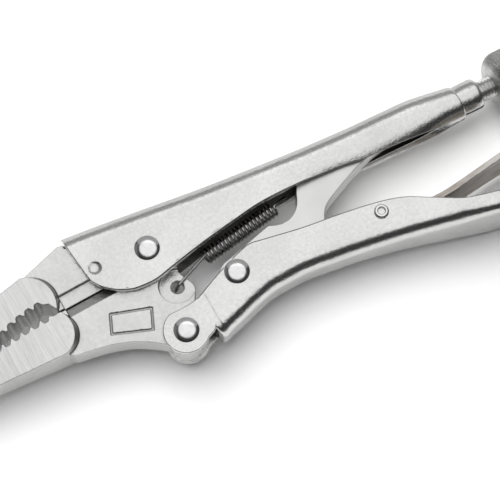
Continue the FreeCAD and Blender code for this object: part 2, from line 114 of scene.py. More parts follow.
class PliersFinish(bpy.types.PropertyGroup):
    plating: bpy.props.FloatVectorProperty(
        name="Plating", description="Colour of the nickel plating on the handles",
        default=(0.80, 0.80, 0.79), size=3, min=0.0, max=1.0, subtype="COLOR")
    ground: bpy.props.FloatVectorProperty(
        name="Ground steel", description="Colour of the ground sides of the nose",
        default=(0.96, 0.96, 0.955), size=3, min=0.0, max=1.0, subtype="COLOR")
    forged: bpy.props.FloatVectorProperty(
        name="Forged plating", description="Colour of the plated forging behind the nose",
        default=(0.77, 0.77, 0.76), size=3, min=0.0, max=1.0, subtype="COLOR")
    wire: bpy.props.FloatVectorProperty(
        name="Spring wire", description="Colour of the oil-tempered spring wire",
        default=(0.50, 0.49, 0.48), size=3, min=0.0, max=1.0, subtype="COLOR")
    rivet: bpy.props.FloatVectorProperty(
        name="Rivet heads", description="Colour of the polished rivet heads",
        default=(0.82, 0.82, 0.82), size=3, min=0.0, max=1.0, subtype="COLOR")
    floor: bpy.props.FloatVectorProperty(
        name="Floor", description="Colour of the pale floor",
        default=(0.93, 0.93, 0.93), size=3, min=0.0, max=1.0, subtype="COLOR")


def sizes():
    return bpy.context.scene.pliers_sizes


def finish():
    return bpy.context.scene.pliers_finish


# ---------------- shader maths

class Value:
    """A shader socket that is used in Python expressions; each operator adds one Math node."""

    def __init__(self, tree, socket):
        self.tree = tree
        self.socket = socket

    def math(self, operation, *values):
        return add_node(self.tree, "ShaderNodeMath", {"operation": operation}, dict(enumerate(values)))

    def __add__(self, other):
        return self.math("ADD", self, other)

    def __radd__(self, other):
        return self.math("ADD", other, self)

    def __sub__(self, other):
        return self.math("SUBTRACT", self, other)

    def __rsub__(self, other):
        return self.math("SUBTRACT", other, self)

    def __mul__(self, other):
        return self.math("MULTIPLY", self, other)

    def __rmul__(self, other):
        return self.math("MULTIPLY", other, self)

    def __abs__(self):
        return self.math("ABSOLUTE", self)

    def above(self, edge):
        """1 where the value is over edge, else 0."""
        return self.math("GREATER_THAN", self, edge)

    def step(self, low, high):
        """0 below low, 1 above high, straight between them."""
        return add_node(self.tree, "ShaderNodeMapRange", {},
                        {"Value": self, "From Min": low, "From Max": high}, "Result")


def add_node(tree, kind, settings, sockets, output=0):
    """Any node: its settings first, then the values or links of its sockets; gives one output."""
    node = tree.nodes.new(kind)
    for name, value in settings.items():
        setattr(node, name, value)
    for name, value in sockets.items():
        if isinstance(value, Value):
            tree.links.new(value.socket, node.inputs[name])
        else:
            node.inputs[name].default_value = value
    return Value(tree, node.outputs[output])


# Places of the colour sockets in a Mix node.
MIX_SHARE, MIX_FIRST, MIX_SECOND, MIX_RESULT = 0, 6, 7, 2


class Finish:
    """A material being made: one Principled surface and the nodes behind it."""

    def __init__(self, name, **constants):
        self.material = bpy.data.materials.new(name)
        self.material.use_nodes = True
        self.tree = self.material.node_tree
        self.surface = self.tree.nodes["Principled BSDF"]
        for socket, value in constants.items():
            self.surface.inputs[socket.replace("_", " ")].default_value = value
        self.coordinates = self.node("ShaderNodeTexCoord", output="Object")

    def node(self, kind, output=0, **sockets):
        """A node without settings, its sockets given by name."""
        named = {name.replace("_", " "): value for name, value in sockets.items()}
        return add_node(self.tree, kind, {}, named, output)

    def noise(self, scale, detail=2.0, stretch=(1.0, 1.0, 1.0), turn=0.0, rough=0.5):
        """Noise in the frame's metres; a large stretch makes it finer along that axis and turn rotates
        it about Z."""
        spots = self.node("ShaderNodeMapping", Vector=self.coordinates, Scale=stretch,
                          Rotation=(0.0, 0.0, turn))
        return self.node("ShaderNodeTexNoise", Vector=spots, Scale=scale, Detail=detail, Roughness=rough)

    def mix(self, share, first, second):
        """Colour that goes from first to second with share."""
        first, second = (colour if isinstance(colour, Value) else (*colour, 1.0)
                         for colour in (first, second))
        return add_node(self.tree, "ShaderNodeMix", {"data_type": "RGBA"},
                        {MIX_SHARE: share, MIX_FIRST: first, MIX_SECOND: second}, MIX_RESULT)

    def dim(self, colour, kept):
        """Colour darkened to the share kept."""
        return add_node(self.tree, "ShaderNodeVectorMath", {"operation": "SCALE"},
                        {0: colour, "Scale": kept})

    def facing(self, axis="Z"):
        """One part of the surface's direction, without its bumps."""
        normal = self.node("ShaderNodeNewGeometry", output="Normal")
        return self.node("ShaderNodeSeparateXYZ", output=axis, Vector=normal)

    def sides(self, colour, upper, lower):
        """Colour kept less where the surface faces up or down across the tool: painted shade, set only
        by which way the surface faces.
        """
        across = self.facing("Y")
        top = across.step(0.30, 0.95) * (1.0 - upper)
        bottom = (across * -1.0).step(0.55, 0.98) * (1.0 - lower)
        return self.dim(colour, 1.0 - top - bottom)

    def place(self, axis):
        """Distance along one axis of the frame, in metres."""
        return self.node("ShaderNodeSeparateXYZ", output=axis, Vector=self.coordinates)

    def feed(self, **sockets):
        """Links what varies over the surface to the surface's sockets."""
        for name, value in sockets.items():
            self.tree.links.new(value.socket, self.surface.inputs[name.replace("_", " ")])

    def bump(self, height, distance):
        """Relief that is distance high where height is 1."""
        self.feed(Normal=self.node("ShaderNodeBump", output="Normal", Height=height, Distance=distance,
                                   Strength=1.0))


once = functools.cache                    # a finish is made the first time that it is asked for


def shade(colour, factor):
    return tuple(channel * factor for channel in colour)


def clouded(patches, peel, grit):
    """Share of the darker tone where broad patches, orange peel and fine grit meet."""
    return (patches * 0.45 + peel * 0.4 + grit * 0.15).step(0.36, 0.66)


@once
def satin_plating():
    """Nickel plating over pressed sheet: soft orange peel, faint handling marks."""
    f = Finish("satin_plating", Metallic=1.0)
    colour = finish().plating
    patches = f.noise(55.0, 3.0)
    peel = f.noise(1000.0, 2.5)
    grit = f.noise(3600.0, 2.0)
    rubs = f.noise(900.0, 3.0, stretch=(0.12, 1.0, 1.0), turn=0.35)
    plate = f.mix(clouded(patches, peel, grit), colour, shade(colour, 0.82))
    # Painted shade: the plating is darkened where it faces up or down across the tool.
    f.feed(Base_Color=f.sides(plate, 0.42, 0.84),
           Roughness=0.18 + patches * 0.08 + rubs.step(0.62, 0.8) * 0.07 + grit * 0.07)
    f.bump(peel * 0.7 + grit * 0.2 + rubs.step(0.6, 0.8) * 0.1, 0.10 * MM)
    return f.material


GROUND_END = (-33.0, -32.5)               # the ground sides of the nose end between these, along X


@once
def forged_plating():
    """Plated forging, with its nose sides ground flat and left with fine cross lines, and painted shade
    in its creases, on walls facing the handles, under edges facing down and on sides facing up or down.
    """
    f = Finish("forged_plating", Metallic=1.0)
    patches = f.noise(80.0, 3.0)
    peel = f.noise(820.0, 3.0)
    grit = f.noise(3200.0, 2.0)
    lines = f.noise(1500.0, 3.0, stretch=(3.2, 0.10, 0.10), turn=-0.12, rough=0.65)
    scratches = f.noise(700.0, 4.0, stretch=(2.4, 0.05, 0.05), turn=-0.16, rough=0.7)
    bands = f.noise(330.0, 2.0, stretch=(3.0, 0.06, 0.06), turn=-0.14, rough=0.6)
    flat = abs(f.facing()).step(0.94, 0.985)
    nose = 1.0 - f.place("X").step(*(spot(x, 0.0).x for x in GROUND_END))
    ground = flat * nose
    plated = f.mix(clouded(patches, peel, grit), finish().forged, shade(finish().forged, 0.80))
    stone = f.mix((lines * 0.55 + bands * 0.45).step(0.36, 0.62), shade(finish().ground, 0.76),
                  finish().ground)
    # Painted shade: darker where pointiness is low (creases), on walls facing the handles along X, on
    # convex edges facing down across the tool, and on sides facing up or down across the tool.
    pointed = f.node("ShaderNodeNewGeometry", output="Pointiness")
    crevice_shade = (0.5 - pointed).step(0.0, 0.10)
    handle_facing_shade = f.facing("X").step(0.35, 0.75) * abs(f.facing()).above(0.02)
    under = (pointed - 0.5).step(0.02, 0.10) * (f.facing("Y") * -1.0).step(0.05, 0.3)
    kept = (1.0 - crevice_shade * 0.75) * (1.0 - handle_facing_shade * 0.70) * (1.0 - under * 0.7)
    f.feed(Base_Color=f.dim(f.sides(f.mix(ground, plated, stone), 0.55, 0.92), kept),
           Roughness=0.25 + patches * 0.10 + grit * 0.05 + ground * (0.05 + lines * 0.16))
    f.bump((1.0 - ground) * (peel * 0.8 + grit * 0.2) + ground * (lines * 0.30 + scratches * 0.30),
           0.15 * MM)
    return f.material


@once
def link_plating():
    """Plated thick sheet: smooth, with faint lengthwise rolling marks."""
    f = Finish("link_plating", Metallic=1.0)
    colour = finish().forged
    patches = f.noise(90.0, 3.0)
    rolled = f.noise(900.0, 3.0, stretch=(0.15, 1.6, 1.0), turn=-0.25)
    grit = f.noise(3300.0, 2.0)
    f.feed(Base_Color=f.mix(patches.step(0.35, 0.75), shade(colour, 0.98), shade(colour, 0.88)),
           Roughness=0.27 + rolled * 0.10 + grit * 0.05)
    f.bump(rolled * 0.5 + grit * 0.3 + f.noise(520.0) * 0.4, 0.035 * MM)
    return f.material


LEVER_COLOURS = (0.62, 0.60, 0.57), (0.30, 0.25, 0.21)    # bright, and browned by wear


@once
def lever_plating():
    """Thin plating over the lever's strip, browned where the plating is worn."""
    f = Finish("lever_plating", Metallic=1.0)
    worn = f.noise(120.0, 4.0, stretch=(0.4, 1.0, 1.0), turn=0.1)
    streaks = f.noise(700.0, 3.0, stretch=(0.15, 1.0, 1.0), turn=0.05)
    grit = f.noise(3400.0, 2.0)
    f.feed(Base_Color=f.mix((worn * 0.7 + streaks * 0.3).step(0.40, 0.62), *LEVER_COLOURS),
           Roughness=0.27 + worn * 0.12 + grit * 0.06)
    f.bump(streaks * 0.5 + grit * 0.4, 0.05 * MM)
    return f.material


KNOB_COLOURS = (0.58, 0.58, 0.57), (0.34, 0.34, 0.335)    # rubbed, and dull


@once
def knob_plating():
    """Duller plating over the rough turned and knurled knob."""
    f = Finish("knob_plating", Metallic=1.0)
    patches = f.noise(260.0, 3.0)
    grit = f.noise(1900.0, 3.0)
    f.feed(Base_Color=f.mix((patches * 0.5 + grit * 0.5).step(0.38, 0.64), *KNOB_COLOURS),
           Roughness=0.26 + grit * 0.14)
    f.bump(grit * 0.8 + patches * 0.2, 0.16 * MM)
    return f.material


INNER_SHADE_AND_GREASE_COLOURS = (0.46, 0.455, 0.445), (0.20, 0.195, 0.185)    # both darkened as painted shade inside the fold; the second is also under grease


@once
def inner_shade_and_grease_plating():
    """The thin plating inside the folded handles, darkened as painted shade, with random patches of old
    grease.
    """
    f = Finish("inner_shade_and_grease_plating", Metallic=1.0)
    grease = f.noise(150.0, 4.0)
    grit = f.noise(2400.0, 2.0)
    f.feed(Base_Color=f.mix(grease.step(0.38, 0.65), *INNER_SHADE_AND_GREASE_COLOURS),
           Roughness=0.32 + grease * 0.16 + grit * 0.05)
    f.bump(grit * 0.6 + grease * 0.4, 0.08 * MM)
    return f.material


@once
def rivet_polish():
    """Polished rivet steel with fine random scratches."""
    f = Finish("rivet_polish", Metallic=1.0)
    colour = finish().rivet
    dull = f.noise(600.0, 3.0)
    scratches = f.noise(2600.0, 3.0, stretch=(1.0, 0.12, 1.0), turn=0.7)
    f.feed(Base_Color=f.mix(dull.step(0.4, 0.75), colour, shade(colour, 0.90)),
           Roughness=0.13 + dull * 0.08 + scratches.step(0.62, 0.8) * 0.10)
    f.bump(dull * 0.5 + scratches.step(0.6, 0.82) * 0.2, 0.02 * MM)
    return f.material


@once
def tempered_wire():
    """Oil-tempered spring wire with dark blotches and fine drawing marks."""
    f = Finish("tempered_wire", Metallic=1.0)
    colour = finish().wire
    blotches = f.noise(1300.0, 3.0)
    drawn = f.noise(5200.0, 2.0, stretch=(1.0, 1.0, 0.4))
    f.feed(Base_Color=f.mix(blotches.step(0.4, 0.75), colour, shade(colour, 0.6)),
           Roughness=0.12 + blotches * 0.08 + drawn * 0.05)
    f.bump(drawn * 0.5 + blotches * 0.4, 0.02 * MM)
    return f.material


@once
def screw_plating():
    """Bright plated thread, with random duller patches."""
    f = Finish("screw_plating", Metallic=1.0)
    colour = finish().forged
    grime = f.noise(900.0, 3.0)
    grit = f.noise(4200.0, 2.0)
    f.feed(Base_Color=f.mix(grime.step(0.45, 0.8), shade(colour, 0.95), shade(colour, 0.72)),
           Roughness=0.22 + grime * 0.14 + grit * 0.05)
    f.bump(grit * 0.6 + grime * 0.3, 0.02 * MM)
    return f.material


@once
def pale_floor():
    """Plain pale paper under the tool, with a faint tooth."""
    f = Finish("pale_floor", Roughness=0.9, Specular_IOR_Level=0.1)
    colour = finish().floor
    tooth = f.noise(2500.0, 2.0)
    f.feed(Base_Color=f.mix(f.noise(3.0, 2.0), colour, shade(colour, 0.99)))
    f.bump(tooth, 0.02 * MM)
    return f.material


# ---------------- mesh helpers

def new_piece(name, points, faces, material):
    """A smooth mesh object from points and faces, with outward faces and one finish."""
    mesh = bpy.data.meshes.new(name)
    mesh.from_pydata([tuple(p) for p in points], [], faces)
    mesh.validate()
    model = bmesh.new()
    model.from_mesh(mesh)
    bmesh.ops.recalc_face_normals(model, faces=model.faces)
    model.to_mesh(mesh)
    model.free()
    mesh.polygons.foreach_set("use_smooth", [True] * len(mesh.polygons))
    mesh.materials.append(material)
    piece = bpy.data.objects.new(name, mesh)
    bpy.context.scene.collection.objects.link(piece)
    return piece


def settle(piece):
    """Applies a piece's modifiers to its mesh."""
    graph = bpy.context.evaluated_depsgraph_get()
    mesh = bpy.data.meshes.new_from_object(piece.evaluated_get(graph))
    piece.modifiers.clear()
    old = piece.data
    piece.data = mesh
    bpy.data.meshes.remove(old)


def grid_faces(rows, columns, wrap_columns=False, wrap_rows=False):
    """Quads over a grid of points stored row by row."""
    faces = []
    for row in range(rows if wrap_rows else rows - 1):
        for column in range(columns if wrap_columns else columns - 1):
            right = (column + 1) % columns
            below = (row + 1) % rows
            faces.append((row * columns + column, row * columns + right,
                          below * columns + right, below * columns + column))
    return faces


def closed_faces(rows, around):
    """Quads over rings of points, with one face over the first ring and one over the last."""
    ends = [tuple(range(around)), tuple((rows - 1) * around + k for k in range(around))]
    return grid_faces(rows, around, wrap_columns=True) + ends


def through(table, x):
    """Value at x on a smooth curve without overshoot through rows of (x, value)."""
    if x <= table[0][0]:
        return table[0][1]
    if x >= table[-1][0]:
        return table[-1][1]
    slopes = [(b[1] - a[1]) / (b[0] - a[0]) for a, b in zip(table, table[1:])]
    index = max(i for i in range(len(table) - 1) if table[i][0] <= x)
    tangents = []
    for i in (index, index + 1):
        before = slopes[max(i - 1, 0)]
        after = slopes[min(i, len(slopes) - 1)]
        tangents.append(0.0 if before * after <= 0.0 else 2.0 * before * after / (before + after))
    (x0, y0), (x1, y1) = table[index], table[index + 1]
    run = x1 - x0
    t = (x - x0) / run
    return (y0 * (1 + 2 * t) * (1 - t) ** 2 + y1 * t * t * (3 - 2 * t)
            + run * (tangents[0] * t * (1 - t) ** 2 - tangents[1] * t * t * (1 - t)))


def circle(side, other, radius, around):
    """Arms of a round section, one for each step round it."""
    turns = [2.0 * math.pi * k / around for k in range(around)]
    return [(side * math.cos(turn) + other * math.sin(turn)) * radius for turn in turns]


def turned(name, rows, start, axis, material, around=64, reach=None, ring=False):
    """A turned piece: rows are (distance along the axis, radius) in millimetres.

    reach(distance, radius, k) changes the radius at step k round the axis.  The rows of a ring are a
    closed loop, so that it has a hole and no end faces."""
    axis = Vector(axis).normalized()
    side = axis.orthogonal().normalized()
    other = axis.cross(side)
    arms = circle(side, other, 1.0, around)
    points = []
    for distance, radius in rows:
        for k, arm in enumerate(arms):
            length = reach(distance, radius, k) if reach else radius
            points.append(start + (axis * distance + arm * length) * MM)
    if ring:
        faces = grid_faces(len(rows), around, wrap_columns=True, wrap_rows=True)
    else:
        faces = closed_faces(len(rows), around)
    return new_piece(name, points, faces, material)


def tube(line, radius, around=12):
    """Points and faces of a round wire along a line, closed at both ends; lengths in metres."""
    points = []
    side = None
    for index, point in enumerate(line):
        ahead = line[min(index + 1, len(line) - 1)] - line[max(index - 1, 0)]
        ahead.normalize()
        if side is None:
            side = ahead.orthogonal().normalized()
        side = (side - ahead * side.dot(ahead)).normalized()
        points += [point + arm for arm in circle(side, ahead.cross(side), radius, around)]
    return points, closed_faces(len(line), around)


def join(name, pieces):
    """One object from several, with the first one's materials."""
    points = []
    faces = []
    finishes = []
    materials = list(pieces[0].data.materials)
    for piece in pieces:
        offset = len(points)
        points += [v.co.copy() for v in piece.data.vertices]
        faces += [tuple(offset + i for i in p.vertices) for p in piece.data.polygons]
        finishes += [p.material_index for p in piece.data.polygons]
        bpy.data.objects.remove(piece)
    joined = new_piece(name, points, faces, materials[0])
    for material in materials[1:]:
        joined.data.materials.append(material)
    joined.data.polygons.foreach_set("material_index", finishes)
    return joined


def fit(piece, body, node):
    """Tells the frame where a piece belongs and which solid it stands for."""
    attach(piece, body)
    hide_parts(node)


# ---------------- pressed sheet

FOLD_STEPS, BEND_STEPS, WALL_STEPS, LIP_STEPS, RIM_STEPS = 5, 12, 32, 3, 4
INSIDE = 1                                # place of the inner faces' material on a pressed sheet


def wall_path(top, half, corner, end, edge_half, curl_r, lip=0.6, straight=2.0):
    """Half of a folded section: (y, z) and the outward direction, from the fold to the free edge.

    The fold is flat at top, turns round a corner, runs down the wall at half and may curl in again so
    that its free edge is edge_half from the middle and end is its lowest point."""
    need = max(half - edge_half, 0.0)

    def reach(angle):
        radius = max(curl_r, straight / max(angle, 1e-6))
        return radius, radius * (1.0 - math.cos(angle)) + lip * math.sin(angle)

    low, high = 0.0, math.pi / 2.0
    for _ in range(40):
        middle = (low + high) / 2.0
        if reach(middle)[1] < need:
            low = middle
        else:
            high = middle
    angle = high
    radius, got = reach(angle)
    lip += max(need - got, 0.0)
    wall_top = top - corner
    wall_end = end + radius * math.sin(angle) + lip * math.cos(angle)
    path = [(top, (half - corner) * k / FOLD_STEPS, 1.0, 0.0) for k in range(FOLD_STEPS)]
    for k in range(BEND_STEPS + 1):
        turn = math.pi / 2.0 * k / BEND_STEPS
        path.append((wall_top + corner * math.cos(turn), half - corner + corner * math.sin(turn),
                     math.cos(turn), math.sin(turn)))
    for k in range(1, WALL_STEPS):
        path.append((wall_top + (wall_end - wall_top) * k / WALL_STEPS, half, 0.0, 1.0))
    for k in range(BEND_STEPS + 1):
        turn = angle * k / BEND_STEPS
        path.append((wall_end - radius * math.sin(turn), half - radius * (1.0 - math.cos(turn)),
                     -math.sin(turn), math.cos(turn)))
    y, z, ny, nz = path[-1]
    for k in range(1, LIP_STEPS + 1):
        run = lip * k / LIP_STEPS
        path.append((y - run * math.cos(angle), z - run * math.sin(angle), ny, nz))
    return path


def section_loop(path, thickness, edge, inset):
    """Closed loop round a folded sheet, drawn in by inset, with rounded free edges, in two halves."""
    outer = [(y - ny * inset, z - nz * inset) for y, z, ny, nz in path]
    inner = [(y - ny * (thickness - inset), z - nz * (thickness - inset)) for y, z, ny, nz in path]
    y, z, ny, nz = path[-1]
    along = (-nz, ny)
    depth = max(edge - inset, 0.0) + 1e-4
    rim = []
    for k in range(1, RIM_STEPS + 1):
        turn = math.pi / 2.0 * k / RIM_STEPS
        rim.append((inset + depth * (1.0 - math.cos(turn)), depth * math.sin(turn)))

    def rim_point(under, out):
        """A point under the outer face by under, and out along the sheet by out."""
        return (y - ny * under + along[0] * (out - depth), z - nz * under + along[1] * (out - depth))

    near = [rim_point(under, out) for under, out in rim]
    far = [rim_point(thickness - under, out) for under, out in reversed(rim)]
    for face in (outer, inner):
        face[-1] = (face[-1][0] - along[0] * depth, face[-1][1] - along[1] * depth)
    half = outer + near + far + inner[::-1]
    other = [(y, -z) for y, z in half[1:-1]][::-1]
    return half, other


def spaced(front, near, far, back):
    """Stations up to back: near is the (step, count) at the front edge, and far the step after it."""
    step, count = near
    places = [front + step * k for k in range(count)]
    start = places[-1]
    return places + [start + far * k for k in range(1, int((back - start) / far) + 1)]


# Rounding of a sheet's end: share of the edge along the sheet, and share drawn in there.
END_ROUNDING = [(0.0, 1.0), (0.12, 0.55), (0.45, 0.2), (1.0, 0.0)]
END_CLEAR = 1.3                           # no station is nearer to an end than this share of the edge


def pressed(name, stations, section, shear, material, flip=1.0, dent=None):
    """A folded sheet with a ring at each station along X.

    section gives a ring's path, shear leans the ring, flip -1 puts the fold below and dent presses
    marks into the sheet."""
    thickness, edge = sizes().sheet / MM, sizes().edge / MM
    first, last = stations[0], stations[-1]
    rings = [(first, first + edge * along, edge * share) for along, share in END_ROUNDING]
    rings += [(x, x, 0.0) for x in stations if first + edge * END_CLEAR < x < last - edge * END_CLEAR]
    rings += [(last, last - edge * along, edge * share) for along, share in reversed(END_ROUNDING)]
    points = []
    for x_shape, x_place, inset in rings:
        half, other = section_loop(section(x_shape), thickness, edge, inset)
        for y, z in half + other:
            x = x_place + shear(x_shape, y)
            if dent:
                z = dent(x, y, z)
            points.append(spot(x, y * flip, z))
    count = len(half) + len(other)
    faces = grid_faces(len(rings), count, wrap_columns=True)
    for row in (0, len(rings) - 1):
        base = row * count
        for side in (list(range(len(half))), list(range(len(half) - 1, count)) + [0]):
            for k in range(len(side) // 2 - 1):
                faces.append(tuple(base + side[i] for i in (k, k + 1, -k - 2, -k - 1)))
    sheet = new_piece(name, points, faces, material)
    # The inner faces get the darker inner finish: painted shade inside the fold.
    sheet.data.materials.append(inner_shade_and_grease_plating())
    width = len(section(first))
    for row in range(len(rings) - 1):
        for column in range(width + 2 * RIM_STEPS - 2, len(half) + width - 2):
            sheet.data.polygons[row * count + column].material_index = INSIDE
    return sheet


UPPER_FRONT, UPPER_BACK = -19.6, 106.0
UPPER_TOP = [(-24.0, 17.3), (0.0, 13.6), (25.0, 9.7), (45.0, 7.2), (56.0, 5.9), (64.0, 5.2), (72.0, 4.5),
             (83.0, 3.9), (91.0, 3.5), (98.0, 2.5), (106.0, 0.9)]
UPPER_END = [(-19.6, 1.6), (-18.7, -1.3), (-16.4, -4.6), (-12.5, -7.6), (-8.3, -9.3), (-3.0, -9.8),
             (3.9, -8.7), (13.9, -7.0), (24.9, -5.6), (37.3, -4.5), (49.4, -4.9), (56.5, -5.6),
             (64.0, -6.5), (72.0, -7.8), (83.0, -8.6), (91.0, -9.4), (98.0, -10.0), (106.0, -10.3)]
UPPER_HALF = [(-24.0, 7.3), (56.0, 7.3), (64.0, 7.25), (72.0, 7.15), (83.0, 6.9), (91.0, 6.6),
              (98.0, 6.15), (106.0, 5.6)]
UPPER_LIP = [(44.0, 7.3), (50.0, 6.9), (57.0, 6.2), (64.0, 5.9), (76.0, 5.6), (86.0, 5.0), (93.0, 4.0),
             (98.0, 2.6), (102.5, 0.4), (106.0, 0.2)]
UPPER_CURL = [(44.0, 6.0), (58.0, 9.0), (70.0, 11.0), (86.0, 10.0), (98.0, 5.6), (106.0, 5.2)]
UPPER_CORNER = [(-24.0, 6.0), (45.0, 5.9), (64.0, 5.9), (80.0, 5.7), (98.0, 5.8), (106.0, 5.4)]

# How far the front edge moves along X for each millimetre of Y over FROM, fading out over RUN.
LEAN_SLOPE, LEAN_FROM, LEAN_RUN = -0.0986, 1.6, 14.0
MARK_X, MARK_Y, MARK_R, MARK_DEPTH = -16.3, 2.4, 2.1, 0.75
MARK_FACE = 6.9                           # the mark is only in sheet further than this from the middle

# The neck, from its front end inside the tube to its back end, and back through its bore.
NECK_PROFILE = [(-0.6, 4.6), (0.0, 5.2), (0.2, 5.55), (0.9, 5.62), (1.5, 5.5), (1.8, 5.2), (2.4, 5.1),
                (5.0, 5.15), (8.6, 5.2), (9.3, 5.05), (9.75, 4.7), (9.8, 4.4), (9.8, 3.7), (9.0, 3.62),
                (4.0, 3.62), (-0.6, 3.62)]
NECK_TO_KNOB = 16.6
NECK_WALL_R = 4.2                         # points further out than this are on the outside
SEAM_TURN, SEAM_WIDTH, SEAM_DEPTH = 0.22, 0.07, 0.8    # two angles round the neck, and millimetres


def upper_section(x):
    return wall_path(*(through(table, x) for table in (UPPER_TOP, UPPER_HALF, UPPER_CORNER, UPPER_END,
                                                       UPPER_LIP, UPPER_CURL)))


def upper_lean(x, y):
    """The front edge leans forward towards the fold."""
    fade = max(0.0, 1.0 - (x - UPPER_FRONT) / LEAN_RUN)
    return LEAN_SLOPE * max(y - LEAN_FROM, 0.0) * fade ** 2


def upper_mark(x, y, z):
    """Round press mark in front of the jaw rivet, on both cheeks."""
    share = math.hypot(x - MARK_X, y - MARK_Y) / MARK_R
    if abs(z) > MARK_FACE and share < 1.0:
        z -= math.copysign(MARK_DEPTH * (1.0 - share ** 2) ** 0.8, z)
    return z


class PLIERS_OT_upper_handle(bpy.types.Operator):
    """Folded upper handle that rolls into a slotted tube and a threaded neck"""
    bl_idname = "pliers.upper_handle"
    bl_label = "Upper handle"

    def execute(self, context):
        stations = spaced(UPPER_FRONT, (0.3, 30), 0.95, UPPER_BACK - 0.2) + [UPPER_BACK]
        shell = pressed("upper_handle_fold", stations, upper_section, upper_lean, satin_plating(),
                        dent=upper_mark)
        neck_start = KNOB_START - SCREW_AXIS * NECK_TO_KNOB * MM
        neck = turned("upper_handle_neck", NECK_PROFILE, neck_start, SCREW_AXIS, satin_plating(), 144)
        for vertex in neck.data.vertices:
            arm = vertex.co - neck_start
            arm -= SCREW_AXIS * arm.dot(SCREW_AXIS)
            turn = math.atan2(arm.z, -arm.y) - SEAM_TURN
            if arm.length > NECK_WALL_R * MM:
                vertex.co -= arm.normalized() * SEAM_DEPTH * MM * math.exp(-(turn / SEAM_WIDTH) ** 2)
        fit(join("upper_handle_body", [shell, neck]), "upper_handle", "upper_handle")
        return {"FINISHED"}


LOWER_FRONT, LOWER_FLARE, LOWER_BACK = 5.4, 114.0, 122.0
LOWER_WEB = [(5.4, 34.0), (7.0, 34.1), (9.4, 33.5), (14.0, 32.5), (21.5, 30.5), (28.5, 29.4),
             (36.0, 29.5), (46.0, 30.9), (56.0, 32.7), (69.0, 35.7), (80.0, 38.8), (91.0, 41.8),
             (101.0, 44.4), (112.0, 46.8), (124.0, 48.6)]
LOWER_END = [(5.4, 20.7), (7.6, 19.9), (14.9, 17.2), (22.5, 14.8), (26.5, 14.0), (31.0, 14.9),
             (42.7, 17.5), (54.6, 19.5), (65.0, 21.8), (72.6, 24.4), (80.6, 29.4), (88.8, 34.5),
             (98.9, 37.8), (108.0, 40.2), (116.0, 41.7), (119.4, 42.6), (121.2, 44.0), (122.0, 46.3)]
LOWER_HALF = [(5.4, 7.26), (7.2, 7.28), (8.0, 7.56), (13.0, 8.1), (18.0, 8.2), (46.0, 8.2), (56.0, 8.4),
              (69.0, 9.4), (80.0, 10.7), (91.0, 11.8), (101.0, 12.3), (112.0, 12.45), (124.0, 12.45)]
LOWER_CORNER = 4.5
# The web's front edge is set back this far where Y is RISE over FROM, fading out over RUN.
SETBACK, SETBACK_FROM, SETBACK_RISE, SETBACK_RUN = 1.4, 29.8, 4.3, 8.0
NO_CURL = 40.0                            # curl radius of a wall that stays straight

EAR_R = 6.9
EAR_FROM, EAR_TURN, EAR_STEPS = 108.0, 204.0, 48      # degrees round the handle pivot
EAR_BACK = [(3.9, -32.1), (5.0, -31.7), (5.8, -31.0), (6.4, -30.2), (7.0, -29.4), (7.4, -28.5),
            (7.4, -21.4), (7.0, -20.6), (5.6, -20.8), (2.0, -21.1), (-1.0, -21.1)]
EAR_INNER, EAR_OUTER = 5.1, 7.3


def lower_section(x):
    web, end, half = (through(table, x) for table in (LOWER_WEB, LOWER_END, LOWER_HALF))
    wall = web - end
    corner = max(min(LOWER_CORNER, wall - 2.9), 0.6)
    return wall_path(web, half, corner, end, half, NO_CURL, straight=min(2.0, wall / 3.0))


def lower_lean(x, y):
    """The web's front edge is set back a little between the two walls."""
    fade = max(0.0, 1.0 - (x - LOWER_FRONT) / SETBACK_RUN)
    return SETBACK * max(0.0, (y - SETBACK_FROM) / SETBACK_RISE) * fade ** 2


def ear_outline():
    """Outline of one ear: round the handle pivot, then back under the wall."""
    centre = local(HANDLE_PIVOT)
    arc = [math.radians(EAR_FROM + EAR_TURN * k / EAR_STEPS) for k in range(EAR_STEPS + 1)]
    return [(centre.x + EAR_R * math.cos(a), centre.y + EAR_R * math.sin(a)) for a in arc] + EAR_BACK


def slab(name, outline, low, high, edge, material):
    """A flat plate with rounded edges from a smooth outline in millimetres."""
    count = len(outline)
    area = sum(a[0] * b[1] - b[0] * a[1] for a, b in zip(outline, outline[1:] + outline[:1]))
    sense = 1.0 if area > 0 else -1.0
    inward = []
    for index in range(count):
        before = Vector(outline[index - 1])
        after = Vector(outline[(index + 1) % count])
        ahead = (after - before).normalized()
        inward.append(Vector((-ahead.y, ahead.x)) * sense)
    turns = [math.pi / 2.0 * k / RIM_STEPS for k in range(RIM_STEPS + 1)]
    levels = [(edge * (1.0 - math.sin(a)), low + edge * (1.0 - math.cos(a))) for a in turns]
    levels += [(edge * (1.0 - math.cos(a)), high - edge * (1.0 - math.sin(a))) for a in turns]
    points = []
    for inset, z in levels:
        for (x, y), direction in zip(outline, inward):
            points.append(spot(x + direction.x * inset, y + direction.y * inset, z))
    return new_piece(name, points, closed_faces(len(levels), count), material)


class PLIERS_OT_lower_handle(bpy.types.Operator):
    """Lower handle: a channel flared at its end, with two ears on the handle rivet"""
    bl_idname = "pliers.lower_handle"
    bl_label = "Lower handle"

    def execute(self, context):
        stations = spaced(LOWER_FRONT, (0.35, 24), 1.0, LOWER_FLARE)
        stations += [LOWER_FLARE + 0.4 * k for k in range(20)] + [LOWER_BACK]
        shell = pressed("lower_handle_channel", stations, lower_section, lower_lean, satin_plating(),
                        flip=-1.0)
        ears = [slab("lower_handle_ear", ear_outline(), low, high, sizes().edge / MM, satin_plating())
                for low, high in ((EAR_INNER, EAR_OUTER), (-EAR_OUTER, -EAR_INNER))]
        fit(join("lower_handle_body", [shell] + ears), "lower_handle", "lower_handle")
        return {"FINISHED"}


# ---------------- forged and cut pieces

WELD = 1e-6                               # metres between points that are the same one


